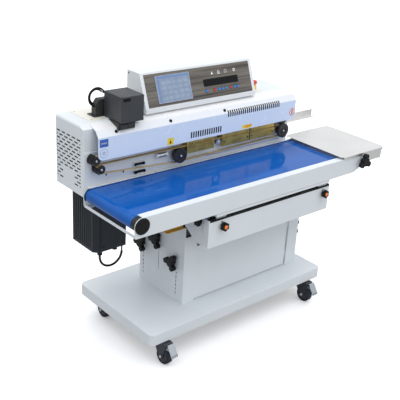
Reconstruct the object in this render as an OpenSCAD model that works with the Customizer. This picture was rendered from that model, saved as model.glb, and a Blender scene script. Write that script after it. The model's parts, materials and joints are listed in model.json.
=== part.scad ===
// Continuous band sealer on a castered stand: a sealing head and a belt conveyor carried by a
// column that telescopes in height. Millimetres, +Z up, front of the machine towards -Y,
// bags travel towards -X. Every piece is drawn about the centre of the base tray and then
// moved by origin_shift, so that the origin is the bottom centre of the bounding box. The
// drawing's base level lies floor_z below the floor.

/* [Stand] */
// Length of the base tray along X
tray_w = 1000; // [900:10:1100]
// Depth of the base tray along Y
tray_d = 518; // [460:2:560]
// Height of the tray top above the drawing's base level
tray_top = 169; // [150:1:190]
// Height of the tray skirt's lower edge above the drawing's base level
tray_bottom = 120; // [110:1:130]
// Corner radius of the tray
tray_r = 22; // [10:1:40]
// Height of the column posts' open tops
post_top = 484; // [440:2:520]
// Height of the recessed column panels' tops
panel_top = 426; // [380:2:440]

/* [Casters] */
// Distance of each swivel axis from the middle, along X
caster_x = 420; // [400:5:440]
// Distance of each swivel axis from the middle, along Y
caster_y = 216; // [190:2:220]
// Caster wheel radius
wheel_r = 37.5; // [30:0.5:40]
// Caster wheel width
wheel_w = 30; // [20:1:34]
// Offset of the wheel axle from the swivel axis
trail = 32; // [20:1:36]

/* [Conveyor] */
// Left end of the conveyor rails
rail_left = -623; // [-640:1:-600]
// Right end of the conveyor rails
rail_right = 651; // [630:1:670]
// Outer face of the front rail
rail_front = -301; // [-320:1:-290]
// Outer face of the rear rail
rail_back = 30; // [20:1:32]
// Lower edge of the rails
rail_bottom = 647; // [640:1:655]
// Upper edge of the rails
rail_top = 724; // [715:1:730]
// Height of the roller axes
roller_z = 692; // [685:1:695]
// Roller radius
roller_r = 25.9; // [22:0.1:26]
// X of the tail roller axis, at the discharge end
tail_x = -591; // [-595:1:-580]
// X of the drive roller axis, at the infeed end
drive_x = 530; // [450:1:530]

/* [Extension table] */
// Left edge of the stainless table
table_left = 499; // [499:1:510]
// Right edge of the stainless table
table_right = 802; // [780:1:820]
// Height of the table top
table_top = 736; // [734:1:745]

/* [Head] */
// Left end of the head housing
head_left = -620; // [-640:1:-600]
// Right end of the head housing
head_right = 487; // [470:1:495]
// Front face of the head housing
head_front = 36; // [34:1:40]
// Back face of the head housing
head_back = 230; // [200:2:250]
// Underside of the head housing
head_bottom = 687; // [680:1:690]
// Top face of the head housing
head_top = 966; // [960:1:970]
// Height of the line where the two bands meet
seal_z = 818; // [805:1:820]

/* [Console] */
// Left side of the console
console_left = -331; // [-340:1:-300]
// Right side of the console
console_right = 262; // [240:1:270]
// Height of the console top
console_top = 1119; // [1080:1:1125]
// Lean of the console face from upright, in degrees
console_tilt = 21; // [15:1:30]

/* [Hidden] */
$fn = 48;
sheet = 2.5;
x_min = rail_left;
x_max = table_right;
knob_front_y = -334;
floor_z = 10;
axle_z = floor_z + wheel_r;
origin_shift = [-(x_min + x_max) / 2, -(knob_front_y + tray_d / 2) / 2, -floor_z];

// column posts: outer left, outer right, width, front, back
post_l = -253;
post_r = 438;
post_w = 65;
post_f = -144;
post_b = 160;
side_top = 530;
slot_lock_z = [207, 226, 245, 264, 283, 302];
slot_lock_y = [-95, 134];

// lift tubes that telescope inside the posts
tube_gap = 7;
tube_w = post_w - 2 * tube_gap;
tube_f = post_f + tube_gap;
tube_b = post_b - tube_gap;
tube_bottom = 200;
tube_shoulder = 625;
outrigger_z0 = 550;
outrigger_z1 = 612;
outrigger_w = 40;
outrigger_f = -272;

// bracket beam in front of the column
beam_l = -262;
beam_r = 447;
beam_f = -290;
beam_back = -210;
beam_z0 = 500;
beam_z1 = 620;
front_knob_x = [-193, 405];
front_knob_z = 586;
side_knob_y = -240;
side_knob_z = 604;

// conveyor
rail_t = 3;
belt_t = 2;
belt_r = roller_r + 0.1;
belt_y0 = -268;
belt_y1 = 26;
drum_y1 = 23;
table_knob_x = 640;
table_knob_z = 697;
table_slide = 60;

// lock knobs on the column: y and z of each
lock_front = [-80, 352];
lock_middle = [30, 410];
lock_rear = [134, 354];
lock_right = [-100, 335];
stem_r = 4;

// sealing wheels: x, z, radius
band_t = 0.8;
band_gap = 0.2;
small_r = 17.5;
big_r = 30;
drive_r = 24.8;
press_r = 29;
upper_left_x = -584;
lower_left_x = -563;
right_x = 414;
press_x = -183;
strand = band_t + band_gap;
upper_left_z = seal_z + 0.2 + strand + small_r;
lower_left_z = seal_z - 0.2 - strand - small_r;
upper_right_z = seal_z + 0.2 + strand + big_r;
lower_right_z = seal_z - 0.2 - strand - drive_r;
press_z = 783.7;
knurl_x = 25;
knurl_r = 13;
knurl_z = seal_z - 1.6 - knurl_r;
pin_r = 4;
run = 0.06;
band_y0 = 2;
band_y1 = 17;
plate_y = 32;

// console face
face_y = 41;
face_z = 985;
fascia_t = 1.2;
key_r = 5.5;
key_gap = 0.25;
key_s = 35;
key_x = [-11, 32, 57, 75, 96, 122, 144, 163];
stop_x = 323;
stop_y = 119;
deck_t = 2;

coder_x0 = -482;
coder_x1 = -379;
coder_y0 = -9;
coder_y1 = 106;
coder_z1 = 1069;

// ---------- shared shapes ----------

// corner points of a rounded rectangle, n steps per corner
function corner(cx, cy, r, a0, n) =
  [for (i = [0 : n]) [cx + r * cos(a0 + 90 * i / n), cy + r * sin(a0 + 90 * i / n)]];
function rounded(x0, x1, y0, y1, r, n = 6) = concat(
  corner(x1 - r, y1 - r, r, 0, n),
  corner(x0 + r, y1 - r, r, 90, n),
  corner(x0 + r, y0 + r, r, 180, n),
  corner(x1 - r, y0 + r, r, 270, n));

// box between two corners
module slab(x0, x1, y0, y1, z0, z1) {
  translate([x0, y0, z0])
    cube([x1 - x0, y1 - y0, z1 - z0]);
}

// upright prism of a rounded rectangle
module rounded_slab(x0, x1, y0, y1, z0, z1, r) {
  translate([0, 0, z0])
    linear_extrude(height = z1 - z0)
      polygon(rounded(x0, x1, y0, y1, r));
}

// prism along X of an outline given as [y, z] points
module along_x(points, x0, x1) {
  translate([x0, 0, 0])
    rotate([90, 0, 90])
      linear_extrude(height = x1 - x0)
        polygon(points);
}

// prism along Y of an outline given as [x, z] points
module along_y(points, y0, y1) {
  translate([0, y1, 0])
    rotate([90, 0, 0])
      linear_extrude(height = y1 - y0)
        polygon(points);
}

// cylinder along Y
module rod_y(x, z, r, y0, y1) {
  translate([x, y1, z])
    rotate([90, 0, 0])
      cylinder(h = y1 - y0, r = r);
}

// cylinder along X
module rod_x(y, z, r, x0, x1) {
  translate([x0, y, z])
    rotate([0, 90, 0])
      cylinder(h = x1 - x0, r = r);
}

// clamping knob on its threaded stem; outwards is +Z, the stem runs to -Z
module lobed_knob(lobes, ring_r, lobe_r, core_r, head_h, neck_h, stem_l) {
  translate([0, 0, neck_h]) {
    cylinder(h = head_h, r = core_r);
    for (i = [0 : lobes - 1])
      rotate([0, 0, 360 * i / lobes + 90])
        translate([ring_r, 0, 1])
          cylinder(h = head_h - 2, r = lobe_r);
  }
  cylinder(h = neck_h + 1, r = core_r * 0.6);
  translate([0, 0, -stem_l])
    cylinder(h = stem_l + 1, r = stem_r);
}

module tee_knob(stem_l) {
  lobed_knob(3, 27, 12, 18, 21, 9, stem_l);
}

module star_knob(stem_l) {
  lobed_knob(6, 14, 5, 14, 16, 8, stem_l);
}

// knob whose outward direction is -X, foot on a face at x
module knob_left(x, y, z) {
  translate([x, y, z])
    rotate([0, -90, 0])
      children();
}

// knob whose outward direction is +X
module knob_right(x, y, z) {
  translate([x, y, z])
    rotate([0, 90, 0])
      children();
}

// knob whose outward direction is -Y
module knob_front(x, y, z) {
  translate([x, y, z])
    rotate([90, 0, 0])
      children();
}

// ---------- stand ----------

tray_t = 3;
gusset_w = 118;
gusset_d = 96;
gusset_t = 6;
king_r = 8;

module base_tray() {
  color([0.88, 0.9, 0.92])
    difference() {
      union() {
        difference() {
          rounded_slab(-tray_w / 2, tray_w / 2, -tray_d / 2, tray_d / 2,
            tray_bottom, tray_top, tray_r);
          rounded_slab(-tray_w / 2 + tray_t, tray_w / 2 - tray_t,
            -tray_d / 2 + tray_t, tray_d / 2 - tray_t,
            tray_bottom - 1, tray_top - tray_t, tray_r - tray_t);
        }
        for (y = [-90, 90])
          slab(-tray_w / 2 + 1, tray_w / 2 - 1, y - 15, y + 15, tray_top - 24, tray_top - 1);
        intersection() {
          rounded_slab(-tray_w / 2 + 1, tray_w / 2 - 1, -tray_d / 2 + 1, tray_d / 2 - 1,
            tray_bottom, tray_bottom + gusset_t, tray_r - 1);
          for (sx = [-1, 1])
            for (sy = [-1, 1])
              translate([sx * (tray_w / 2 - gusset_w / 2), sy * (tray_d / 2 - gusset_d / 2), tray_top / 2])
                cube([gusset_w, gusset_d, tray_top], center = true);
        }
      }
      for (sx = [-1, 1])
        for (sy = [-1, 1])
          translate([sx * caster_x, sy * caster_y, tray_bottom - 1])
            cylinder(h = gusset_t + 2, r = king_r + run);
    }
}

// one column post: a welded box, open at the top, its outer side wall drawn up higher, with
// lock holes, two rows of adjusting slots and a sight slit in that wall
module post(x0, outer_x, side, locks) {
  difference() {
    union() {
      slab(x0, x0 + post_w, post_f, post_b, tray_top, post_top);
      slab(outer_x - (side > 0 ? sheet : 0), outer_x + (side > 0 ? 0 : sheet),
        post_f, post_b, post_top - 10, side_top);
    }
    slab(x0 + sheet, x0 + post_w - sheet, post_f + sheet, post_b - sheet,
      tray_top + sheet, post_top + 1);
    for (k = locks)
      rod_x(k[0], k[1], stem_r + 0.2, outer_x - 5, outer_x + 5);
    for (z = slot_lock_z)
      for (y = slot_lock_y)
        slab(outer_x - 5, outer_x + 5, y - 2.75, y + 2.75, z - 5.25, z + 5.25);
    slab(outer_x - 5, outer_x + 5, 25.5, 28.5, 266, 366);
  }
}

panel_gap = 4;

module column_panel(y0) {
  slab(post_l + post_w, post_r - post_w - panel_gap, y0, y0 + 2,
    tray_top + panel_gap, panel_top);
  for (z = [tray_top + 50, panel_top - 60])
    slab(post_r - post_w - panel_gap - 20, post_r - post_w, y0 + 1, y0 + 3, z, z + 20);
}

module column_shell() {
  color([0.86, 0.88, 0.9]) {
    post(post_l, post_l, -1, [lock_front, lock_middle, lock_rear]);
    post(post_r - post_w, post_r, 1, [lock_right]);
    column_panel(post_f + 6);
    column_panel(post_b - 9);
  }
}

// ---------- casters ----------

leg_in = wheel_w / 2 + 2;
leg_t = 3;
crown_z0 = 108;
crown_z1 = tray_bottom - 0.5;
pedal_y = -50;
pedal_z = 94;
pedal_pin_r = 3;

// swivel fork, its stem up through the tray gusset, the axle and, if braked, the pedal pin
module caster_fork(sx, sy, braked) {
  color([0.16, 0.18, 0.2])
    translate([sx * caster_x, sy * caster_y, 0]) {
      translate([0, 0, crown_z0])
        cylinder(h = crown_z1 - crown_z0, r = 27);
      cylinder_at(crown_z1 - 1, tray_bottom + gusset_t + 9, king_r);
      cylinder_at(tray_bottom + gusset_t + 0.5, tray_bottom + gusset_t + 7.5, 13);
      for (s = [-1, 1])
        translate([s * (leg_in + leg_t / 2), 0, 0])
          along_x([[-22, crown_z0 + 1], [18, crown_z0 + 1], [14, 90],
            [-20, axle_z - 8], [-26, axle_z - 11], [-38, axle_z - 11], [-44, axle_z - 4],
            [-44, 66], [braked ? pedal_y - 6 : -42, pedal_z - 5],
            [braked ? pedal_y - 6 : -40, pedal_z + 6],
            [-32, pedal_z + 12]], -leg_t / 2, leg_t / 2);
      rod_x(-trail, axle_z, 5, -leg_in - leg_t - 2, leg_in + leg_t + 2);
      if (braked) {
        rod_x(pedal_y, pedal_z, pedal_pin_r, -leg_in - leg_t - 1, leg_in + leg_t + 1);
        // hood over the brake, joined to both legs and the crown
        slab(-leg_in - leg_t, leg_in + leg_t, -56, -20, crown_z0 - 3, crown_z0 + 5);
      }
    }
}

module cylinder_at(z0, z1, r) {
  translate([0, 0, z0])
    cylinder(h = z1 - z0, r = r);
}

// wheel with a tyre, a recessed disc on each side and a bored hub
module caster_wheel(sx, sy) {
  color([0.08, 0.09, 0.14])
    translate([sx * caster_x, sy * caster_y - trail, axle_z])
      rotate([0, 90, 0])
        rotate_extrude($fn = 64)
          polygon([[5 + run, -wheel_w / 2], [12, -wheel_w / 2], [13, -wheel_w / 2 + 4],
            [wheel_r - 9, -wheel_w / 2 + 4], [wheel_r - 8, -wheel_w / 2],
            [wheel_r - 3, -wheel_w / 2], [wheel_r, -wheel_w / 2 + 4],
            [wheel_r, wheel_w / 2 - 4], [wheel_r - 3, wheel_w / 2],
            [wheel_r - 8, wheel_w / 2], [wheel_r - 9, wheel_w / 2 - 4],
            [13, wheel_w / 2 - 4], [12, wheel_w / 2], [5 + run, wheel_w / 2]]);
}

// bent brake pedal hung on the fork's pin in front of the wheel
module brake_pedal(sx) {
  color([0.8, 0.82, 0.84])
    translate([sx * caster_x, -caster_y, 0]) {
      difference() {
        union() {
          rod_x(pedal_y, pedal_z, 6, -leg_in + 0.5, leg_in - 0.5);
          along_x([[-66.5, 116], [-69, 115], [-93.5, 78.5], [-98, 69], [-95.3, 67.8],
            [-91, 76.8], [-80, 93.2], [pedal_y - 2, pedal_z - 5], [pedal_y + 2, pedal_z + 5],
            [-71, 106.6]], -leg_in + 0.5, leg_in - 0.5);
        }
        rod_x(pedal_y, pedal_z, pedal_pin_r + run, -leg_in, leg_in);
      }
    }
}

// ---------- clamping knobs ----------

knob_gap = 0.2;

module lock_knob(at) {
  color([0.07, 0.07, 0.08])
    knob_left(post_l - knob_gap, at[0], at[1])
      tee_knob(sheet + 3);
}

module lock_knob_right() {
  color([0.07, 0.07, 0.08])
    knob_right(post_r + knob_gap, lock_right[0], lock_right[1])
      tee_knob(sheet + 3);
}

module star_knob_front(x) {
  color([0.07, 0.07, 0.08])
    knob_front(x, beam_f - knob_gap, front_knob_z)
      star_knob(9);
}

module star_knob_side_left() {
  color([0.07, 0.07, 0.08])
    knob_left(beam_l - knob_gap, side_knob_y, side_knob_z)
      star_knob(15);
}

module star_knob_side_right() {
  color([0.07, 0.07, 0.08])
    knob_right(beam_r + knob_gap, side_knob_y, side_knob_z)
      star_knob(15);
}

module table_knob() {
  color([0.07, 0.07, 0.08])
    knob_front(table_knob_x, rail_front - 5.2, table_knob_z)
      lobed_knob(3, 25, 13, 20, 18.8, 9, 16);
}

// ---------- lift frame and bracket ----------

module lift_tube(x0) {
  difference() {
    along_x([[tube_f, tube_bottom], [tube_b, tube_bottom], [tube_b, head_bottom],
      [head_front + 4, head_bottom], [head_front + 4, tube_shoulder], [tube_f, tube_shoulder]],
      x0, x0 + tube_w);
    along_x([[tube_f + sheet, tube_bottom - 1], [tube_b - sheet, tube_bottom - 1],
      [tube_b - sheet, head_bottom - sheet], [head_front + 4 + sheet, head_bottom - sheet],
      [head_front + 4 + sheet, tube_shoulder - sheet], [tube_f + sheet, tube_shoulder - sheet]],
      x0 + sheet, x0 + tube_w - sheet);
  }
}

module outrigger(x0) {
  difference() {
    slab(x0, x0 + outrigger_w, outrigger_f, tube_f + 1, outrigger_z0, outrigger_z1);
    slab(x0 + sheet, x0 + outrigger_w - sheet, outrigger_f - 1, tube_f,
      outrigger_z0 + sheet, outrigger_z1 - sheet);
  }
}

module lift_frame() {
  color([0.82, 0.84, 0.86]) {
    lift_tube(post_l + tube_gap);
    lift_tube(post_r - tube_gap - tube_w);
    outrigger(post_l + tube_gap);
    outrigger(post_r - tube_gap - outrigger_w);
    slab(post_l + tube_gap + tube_w - 1, post_r - tube_gap - tube_w + 1,
      head_front + 6, tube_b - 2, head_bottom - 6, head_bottom);
  }
}

shoe_t = 3;
shoe_f = -262;
shoe_b = -152;

// side plate of the bracket with the two shoes that slide on the outrigger
module bracket_side(x0, inner0, inner1) {
  difference() {
    along_x([[beam_f, beam_z0 + 7], [beam_back + 5, beam_z0 + 7], [shoe_b, 543],
      [post_f - 3, 543], [post_f - 3, beam_z1], [beam_f, beam_z1]], x0, x0 + sheet);
    rod_x(side_knob_y, side_knob_z, stem_r + 0.2, x0 - 1, x0 + sheet + 1);
  }
  slab(inner0, inner1, shoe_f, shoe_b, outrigger_z1 + 1, outrigger_z1 + 1 + shoe_t);
  slab(inner0, inner1, shoe_f, shoe_b, outrigger_z0 - 1 - shoe_t, outrigger_z0 - 1);
}

module bracket_beam() {
  color([0.88, 0.9, 0.92]) {
    difference() {
      slab(beam_l, beam_r, beam_f, beam_back, beam_z0, beam_z1);
      slab(beam_l + sheet, beam_r - sheet, beam_f + sheet, beam_back + 1,
        beam_z0 + sheet, beam_z1 + 1);
      for (x = front_knob_x)
        slab(x - stem_r - 0.5, x + stem_r + 0.5, beam_f - 1, beam_f + sheet + 1,
          front_knob_z - 12, front_knob_z + 18);
      rod_x(side_knob_y, side_knob_z, stem_r + 0.2, beam_l - 1, beam_r + 1);
    }
    bracket_side(beam_l, beam_l + sheet - 1, post_l + tube_gap + outrigger_w);
    bracket_side(beam_r - sheet, post_r - tube_gap - outrigger_w, beam_r - sheet + 1);
  }
}

// ---------- conveyor ----------

cap_r = 31.5;
flange_w = 34;
hanger_t = 4;

// side outline of a rail: round over the tail roller, cut back on a slant at the infeed end
function rail_outline() = concat(
  [for (i = [0 : 8]) [tail_x + (rail_top - roller_z) * cos(90 + 90 * i / 8),
    roller_z + (rail_top - roller_z) * sin(90 + 90 * i / 8)]],
  [[rail_left + 1, rail_bottom + 10], [rail_left + 5, rail_bottom],
    [594, rail_bottom], [rail_right, 672], [rail_right, rail_top]]);

module rail_web(y0) {
  along_y(rail_outline(), y0, y0 + rail_t);
}

module conveyor_frame() {
  color([0.85, 0.87, 0.9])
    difference() {
      union() {
        rail_web(rail_front);
        rail_web(rail_back - rail_t);
        slab(tail_x + 4, rail_right, rail_front, rail_front + flange_w,
          rail_top - rail_t, rail_top);
        slab(tail_x + 4, rail_right, rail_back - 5, rail_back, rail_top - rail_t, rail_top);
        slab(rail_left + 8, 580, rail_front, rail_front + 25, rail_bottom, rail_bottom + rail_t);
        slab(rail_left + 8, 580, rail_back - 15, rail_back, rail_bottom, rail_bottom + rail_t);
        // slider bed under the carrying run of the belt
        slab(tail_x + 32, drive_x - 32, rail_front + 1, rail_back - 1, 714, 717.6);
        // cross ties under the return run
        for (x = [-400, 400])
          slab(x, x + 40, rail_front + 1, rail_back - 1, rail_bottom, rail_bottom + rail_t);
        // upright tie strip below the tail roller
        slab(rail_left + 5, rail_left + 8, rail_front + 1, rail_back - 1,
          rail_bottom, rail_bottom + 11);
        // hanger strip and the two tabs clamped in the bracket's slots
        slab(-233, 432, rail_front + 2, -281, 633, 645);
        for (x = front_knob_x)
          difference() {
            slab(x - 26, x + 26, -283, -283 + hanger_t, 545, rail_bottom + 1);
            rod_y(x, front_knob_z, stem_r + 0.2, -290, -270);
          }
        // bosses for the roller journals
        rod_y(tail_x, roller_z, 13, rail_front + 1, rail_front + 6);
        rod_y(tail_x, roller_z, 13, rail_back - 6, rail_back - 1);
        rod_y(drive_x, roller_z, 13, rail_front + 1, rail_front + 6);
        rod_y(drive_x, roller_z, 13, rail_back - 6, rail_back - 1);
      }
      for (x = [tail_x, drive_x])
        rod_y(x, roller_z, 8 + run, rail_front + rail_t, rail_back - rail_t);
      for (y = [rail_front, rail_back])
        rod_y(table_knob_x, table_knob_z, stem_r + 0.3, y - 4, y + 4);
    }
}

// cap discs outside the tail roller, each with four screw heads
module roller_cap(y0, y1, head_y0, head_y1) {
  rod_y(tail_x, roller_z, cap_r, y0, y1);
  for (a = [45, 135, 225, 315])
    rod_y(tail_x + 20 * cos(a), roller_z + 20 * sin(a), 3, head_y0, head_y1);
}

module roller_caps() {
  color([0.06, 0.06, 0.07]) {
    roller_cap(rail_front - 4, rail_front, rail_front - 5.5, rail_front - 3);
    roller_cap(rail_back, rail_back + 1, rail_back + 0.5, rail_back + 1.5);
  }
}

// outline of a run around the two rollers, grown by r
module run_outline(r, y0, y1) {
  rod_y(tail_x, roller_z, r, y0, y1);
  rod_y(drive_x, roller_z, r, y0, y1);
  slab(tail_x, drive_x, y0, y1, roller_z - r, roller_z + r);
}

module conveyor_belt() {
  color([0.1, 0.32, 0.62])
    difference() {
      run_outline(belt_r + belt_t, belt_y0, belt_y1);
      run_outline(belt_r, belt_y0 - 1, belt_y1 + 1);
    }
}

// drum with its journals and a wide flange ring at its front end, outside the belt
module conveyor_roller(x) {
  rod_y(x, roller_z, roller_r, belt_y0 - 2, drum_y1);
  rod_y(x, roller_z, 28, rail_front + 7, belt_y0 - 1);
  rod_y(x, roller_z, 8, rail_front + rail_t + 0.5, rail_back - rail_t - 0.5);
}

module drive_roller() {
  color([0.2, 0.2, 0.22])
    conveyor_roller(drive_x);
}

module tail_roller() {
  color([0.2, 0.2, 0.22])
    conveyor_roller(tail_x);
}

// ---------- extension table ----------

table_f = -306;
table_b = 54;
table_t = 2;
skirt = 12;
table_r = 25;
arm_x0 = 560;
arm_x1 = 790;

// flat arm that slides inside a rail, slotted for the knob's stem, with a riser to the top
module table_arm(y0) {
  difference() {
    along_y([[arm_x0, 682], [arm_x1, 682], [arm_x1, table_top - 1], [662, table_top - 1],
      [662, 712], [arm_x0, 712]], y0, y0 + 5);
    slab(table_knob_x - table_slide - stem_r - 2, table_knob_x + stem_r + 2, y0 - 1, y0 + 6,
      table_knob_z - stem_r - 0.5, table_knob_z + stem_r + 0.5);
  }
}

module extension_table() {
  color([0.84, 0.84, 0.83]) {
    difference() {
      rounded_slab(table_left, table_right, table_f, table_b, table_top - skirt, table_top, table_r);
      rounded_slab(table_left + table_t, table_right - table_t, table_f + table_t,
        table_b - table_t, table_top - skirt - 1, table_top - table_t, table_r - table_t);
      slab(table_left - 1, table_left + 14, table_f - 1, table_b + 1,
        table_top - skirt - 1, table_top - table_t);
    }
    table_arm(rail_front + rail_t + 0.5);
    table_arm(rail_back - rail_t - 0.5 - 5);
  }
}

// ---------- head ----------

// side outline of the head as [y, z], its front top edge folded back under the guard
function head_outline(t) = [[head_front + t, head_bottom - 1 + (t > 0 ? 0 : 1)],
  [head_front + t, 952.5 - t * 0.75], [39.5 + t * 0.5, 955.2 - t], [73 + t * 0.2, head_top - t],
  [head_back - t, head_top - t], [head_back - t, head_bottom - 1 + (t > 0 ? 0 : 1)]];

vent_w = 25;
vent_h = 7;
vent_pitch = 35.6;
vent_half = 7.2;
vent_row = 14.2;
vent_y = 54;
vent_z = 902.5;
vent_rows = 14;
full_rows = 10;
head_r = 4;
head_top_r = 12;
guard_screw_x = [-494, -235, 53];

module vent_slot(y, w, row) {
  z = vent_z - row * vent_row;
  slab(head_left - 2, head_left + 6, y, y + w, z, z + vent_h);
}

// staggered rows: five slots, then four between them with a half slot at each end; the lowest
// rows are cut at the two sides only
module head_vents() {
  for (row = [0 : 2 : vent_rows - 1])
    for (c = [0 : 4])
      if (row < full_rows || c == 0 || c == 4)
        vent_slot(vent_y + c * vent_pitch, vent_w, row);
  for (row = [1 : 2 : vent_rows - 1]) {
    for (c = [0 : 3])
      if (row < full_rows || c == 0 || c == 3)
        vent_slot(vent_y + (c + 0.5) * vent_pitch, vent_w, row);
    vent_slot(vent_y, vent_half, row);
    vent_slot(vent_y + 4 * vent_pitch + vent_w - vent_half, vent_half, row);
  }
}

// the head's block, t inside its skin: front fold, upright corners and rounded end edges
module head_block(t, z0) {
  intersection() {
    along_x(head_outline(t), head_left + t, head_right - t);
    rounded_slab(head_left + t, head_right - t, head_front + t, head_back - t,
      z0, head_top, head_r - t / 2);
    along_y(rounded(head_left + t, head_right - t, head_bottom - 40, head_top - t,
      head_top_r - t), head_front, head_back);
  }
}

module head_housing() {
  color([0.87, 0.89, 0.91]) {
    difference() {
      head_block(0, head_bottom);
      head_block(sheet, head_bottom - 1);
      head_vents();
    }
    // floor channel that bolts to the lift frame and carries the motor
    slab(-560, post_r - tube_gap, head_front + 1, head_back - 1, head_bottom, head_bottom + 4);
    // stand-offs that the guard is screwed to
    for (x = guard_screw_x)
      translate([x, 6.25, 937.5])
        rotate([55, 0, 0])
          translate([0, 0, -38])
            cylinder(h = 35.9, r = 5);
  }
}

module head_top_plate() {
  color([0.93, 0.91, 0.84])
    rounded_slab(-562, 345, 80, 224, head_top, head_top + deck_t, 6);
}

guard_l = -578;
guard_r = 487;
guard_low = 836;
guard_y = -2.5;

function guard_outer() = [[guard_y, guard_low], [guard_y, 925], [15, 950], [60, 964.5]];
function guard_inner() = [[60.6, 962.6], [16.1, 948.2], [guard_y + 2, 924.3],
  [guard_y + 2, guard_low]];

module louvre(x, z0, z1) {
  slab(x, x + 7.2, guard_y - 3, 12, z0, z1);
}

module front_guard() {
  color([0.8, 0.85, 0.93])
    difference() {
      along_x(concat(guard_outer(), guard_inner()), guard_l, guard_r);
      for (i = [0 : 13])
        louvre(-133 + 12.3 * i, 848, 875);
      for (i = [0 : 25])
        louvre(67 + 12.2 * i, 908, 935);
      // rounded lower corners
      for (s = [0, 1])
        translate([s == 0 ? guard_l : guard_r, guard_y - 1, guard_low])
          mirror([s, 0, 0])
            difference() {
              translate([-1, 0, -1])
                cube([23, 6, 23]);
              translate([22, 7, 22])
                rotate([90, 0, 0])
                  cylinder(h = 8, r = 22);
            }
      for (x = guard_screw_x)
        translate([x, 6.25, 937.5])
          rotate([55, 0, 0])
            cylinder(h = 10, r = 3, center = true);
    }
}

module wheel_pin(x, z, y0) {
  rod_y(x, z, pin_r, y0, plate_y + 1);
  rod_y(x, z, 8, band_y1 + 4, plate_y + 1);
}

module seal_base_plate() {
  color([0.8, 0.82, 0.84]) {
    slab(-616, 482, plate_y, head_front, 690, 862);
    slab(-133, 436, band_y1 + 2, plate_y + 1, 748, 754);
    slab(-8, 460, 24, plate_y + 1, 738, 742);
    wheel_pin(upper_left_x, upper_left_z, 0);
    wheel_pin(lower_left_x, lower_left_z, -3);
    wheel_pin(right_x, upper_right_z, 0);
    wheel_pin(right_x, lower_right_z, -12);
    wheel_pin(press_x, press_z, -8);
    wheel_pin(knurl_x, knurl_z, -2);
    // strap bracket with its four rollers, and the plunger barrel beside it
    slab(-398, -344, 24, plate_y + 1, 741, 752);
    slab(-398, -344, 24, plate_y + 1, 774, 785);
    for (p = [[-392, 780], [-353, 779], [-389, 746], [-349, 746]])
      rod_y(p[0], p[1], 6, 18, plate_y + 1);
    rod_x(22.5, 794, 10, -290, -235);
  }
}

// one pair of brass blocks, under and over the line where the bands meet
module block_pair(x0, x1, low) {
  slab(x0, x1, -1, plate_y, low, seal_z - 1.6);
  slab(x0, x1, 1, plate_y, seal_z + 1.6, 850);
}

module sealing_blocks() {
  color([0.72, 0.62, 0.32]) {
    difference() {
      block_pair(-148, 0, 784);
      for (i = [0 : 8])
        for (z = [seal_z - 9, seal_z + 6])
          rod_y(-134 + 15 * i, z, 2.6, -2, 12);
    }
    block_pair(46, 205, 780);
    block_pair(211, 360, 780);
  }
}

module disc_of(p, grow) {
  rod_y(p[0], p[1], p[2] + grow, 0, 1);
}

// closed band around a list of wheels [x, z, r]
module band(wheels) {
  difference() {
    translate([0, band_y0, 0])
      scale([1, band_y1 - band_y0, 1])
        hull()
          for (p = wheels)
            disc_of(p, strand);
    translate([0, band_y0 - 2, 0])
      scale([1, band_y1 - band_y0 + 4, 1])
        hull()
          for (p = wheels)
            disc_of(p, band_gap);
  }
}

module upper_band() {
  color([0.7, 0.58, 0.33])
    band([[upper_left_x, upper_left_z, small_r], [right_x, upper_right_z, big_r]]);
}

module lower_band() {
  color([0.8, 0.68, 0.3])
    band([[lower_left_x, lower_left_z, small_r], [press_x, press_z, press_r],
      [right_x, lower_right_z, drive_r]]);
}

// wheel with a hub, bored for its pin; face_r is the radius of its disc in front of the band
module seal_wheel(x, z, r, y0, y1, face_r) {
  difference() {
    union() {
      rod_y(x, z, r, band_y0 - 1, band_y1 + 1);
      rod_y(x, z, r * 0.8, y0, y1);
      rod_y(x, z, face_r, y0, band_y0 - 1.5);
    }
    rod_y(x, z, pin_r + run, y0 - 1, y1 + 1);
    difference() {
      rod_y(x, z, r * 0.66, y0 - 1, y0 + 2);
      rod_y(x, z, r * 0.4, y0 - 2, y0 + 3);
    }
  }
}

module upper_left_wheel() {
  color([0.12, 0.12, 0.13])
    seal_wheel(upper_left_x, upper_left_z, small_r, 0, 19, small_r);
}

module lower_left_wheel() {
  color([0.12, 0.12, 0.13])
    seal_wheel(lower_left_x, lower_left_z, small_r, -2, 19, small_r);
}

module upper_right_wheel() {
  color([0.12, 0.12, 0.13])
    seal_wheel(right_x, upper_right_z, big_r, 0, 19, big_r * 0.8);
}

module lower_right_wheel() {
  color([0.12, 0.12, 0.13])
    seal_wheel(right_x, lower_right_z, drive_r, -11, 19, 33);
}

module press_wheel() {
  color([0.12, 0.12, 0.13])
    seal_wheel(press_x, press_z, press_r, -7, 19, 31.5);
}

// toothed embossing wheel between the brass blocks
module knurl_wheel() {
  color([0.75, 0.76, 0.77])
    difference() {
      union() {
        rod_y(knurl_x, knurl_z, knurl_r - 1, 0, 19);
        for (i = [0 : 17])
          translate([knurl_x, 9.5, knurl_z])
            rotate([0, 20 * i, 0])
              translate([knurl_r - 1.2, 0, 0])
                cube([2, 19, 2.2], center = true);
      }
      rod_y(knurl_x, knurl_z, pin_r + run, -1, 20);
    }
}

// gear motor on the head floor, its shaft pointing forward to the drive wheels
module drive_motor() {
  color([0.35, 0.37, 0.4]) {
    slab(300, 400, 70, 150, head_bottom + 4, 790);
    rod_x(110, 745, 34, 150, 301);
    rod_x(110, 745, 28, 132, 151);
    rod_y(350, 760, 8, 52, 71);
    rod_y(350, 760, 20, 54, 62);
  }
}

// ---------- console ----------

// moves children onto the leaning face: local x along X, local y up the face, local z out
module on_face(x, s) {
  translate([x, face_y + s * sin(console_tilt), face_z + s * cos(console_tilt)])
    rotate([90 - console_tilt, 0, 0])
      children();
}

face_len = (console_top - face_z) / cos(console_tilt);
face_top_y = face_y + face_len * sin(console_tilt);
console_back = 172;
console_foot = head_top + deck_t;

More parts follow.
